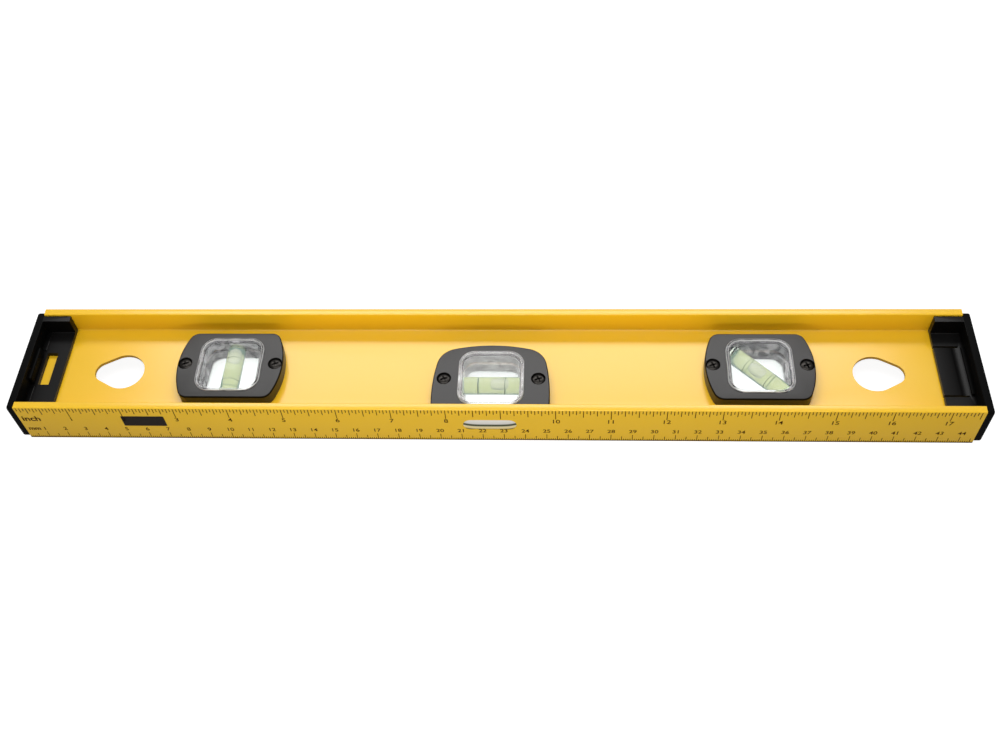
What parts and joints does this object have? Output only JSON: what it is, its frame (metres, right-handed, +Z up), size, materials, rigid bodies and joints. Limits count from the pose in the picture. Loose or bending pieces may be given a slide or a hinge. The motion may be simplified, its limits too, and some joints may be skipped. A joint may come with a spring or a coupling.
{
  "type": "spirit level",
  "caption": "I-beam spirit level with plumb, level and 45 degree vials, a reading slot in the ruler flange, teardrop hanging holes and plug-in end caps; the bubbles slide in their vials.",
  "frame": {"origin": "middle of the footprint as the level lies on its side, on the plane of the flange edges it rests on", "axes": "+X along the beam, from the left end cap to the right one; +Y from the ruler flange to the base flange, so the plumb vial lies along it; +Z up, square to the web, out of the front bezels"},
  "size_m": [0.4538, 0.0598, 0.0252],
  "materials": {
    "yellow_paint": "semi-gloss golden yellow paint on extruded aluminium",
    "black_plastic": "black moulded plastic, satin",
    "grey_plastic": "dark grey moulded plastic, satin",
    "clear_plastic": "clear moulded plastic",
    "vial_acrylic": "polished clear acrylic",
    "vial_liquid": "clear yellow-green liquid",
    "bubble_gas": "air bubble",
    "ring_ink": "black printed line",
    "black_screw_steel": "black oxide steel"
  },
  "bodies": {
    "housing": {"beam": "yellow_paint", "left_end_cap": "black_plastic", "right_end_cap": "black_plastic", "plumb_front_bezel": "grey_plastic", "plumb_back_bezel": "grey_plastic", "plumb_front_lens": "clear_plastic", "plumb_back_lens": "clear_plastic", "plumb_vial": "vial_acrylic", "plumb_vial_plug": "vial_acrylic", "plumb_ring_lines": "ring_ink", "plumb_liquid": "vial_liquid", "plumb_screws": "black_screw_steel", "level_front_bezel": "grey_plastic", "level_back_bezel": "grey_plastic", "level_front_lens": "clear_plastic", "level_back_lens": "clear_plastic", "level_vial": "vial_acrylic", "level_vial_plug": "vial_acrylic", "level_ring_lines": "ring_ink", "level_liquid": "vial_liquid", "level_screws": "black_screw_steel", "angle_front_bezel": "grey_plastic", "angle_back_bezel": "grey_plastic", "angle_front_lens": "clear_plastic", "angle_back_lens": "clear_plastic", "angle_vial": "vial_acrylic", "angle_vial_plug": "vial_acrylic", "angle_ring_lines": "ring_ink", "angle_liquid": "vial_liquid", "angle_screws": "black_screw_steel", "level_slot_window": "clear_plastic"},
    "plumb_bubble_body": {"plumb_bubble": "bubble_gas"},
    "level_bubble_body": {"level_bubble": "bubble_gas"},
    "angle_bubble_body": {"angle_bubble": "bubble_gas"}
  },
  "joints": [
    {"name": "plumb_bubble_slide", "type": "slide", "parent": "housing", "child": "plumb_bubble_body", "axis": [0, 1, 0], "range_m": [-0.01633, 0.00047], "stiffness_N_per_m": 0.2},
    {"name": "level_bubble_slide", "type": "slide", "parent": "housing", "child": "level_bubble_body", "axis": [1, 0, 0], "range_m": [-0.01232, 0.00448], "stiffness_N_per_m": 0.2},
    {"name": "angle_bubble_slide", "type": "slide", "parent": "housing", "child": "angle_bubble_body", "axis": [0.7071, -0.7071, 0], "range_m": [-0.00927, 0.01113], "stiffness_N_per_m": 0.2}
  ]
}
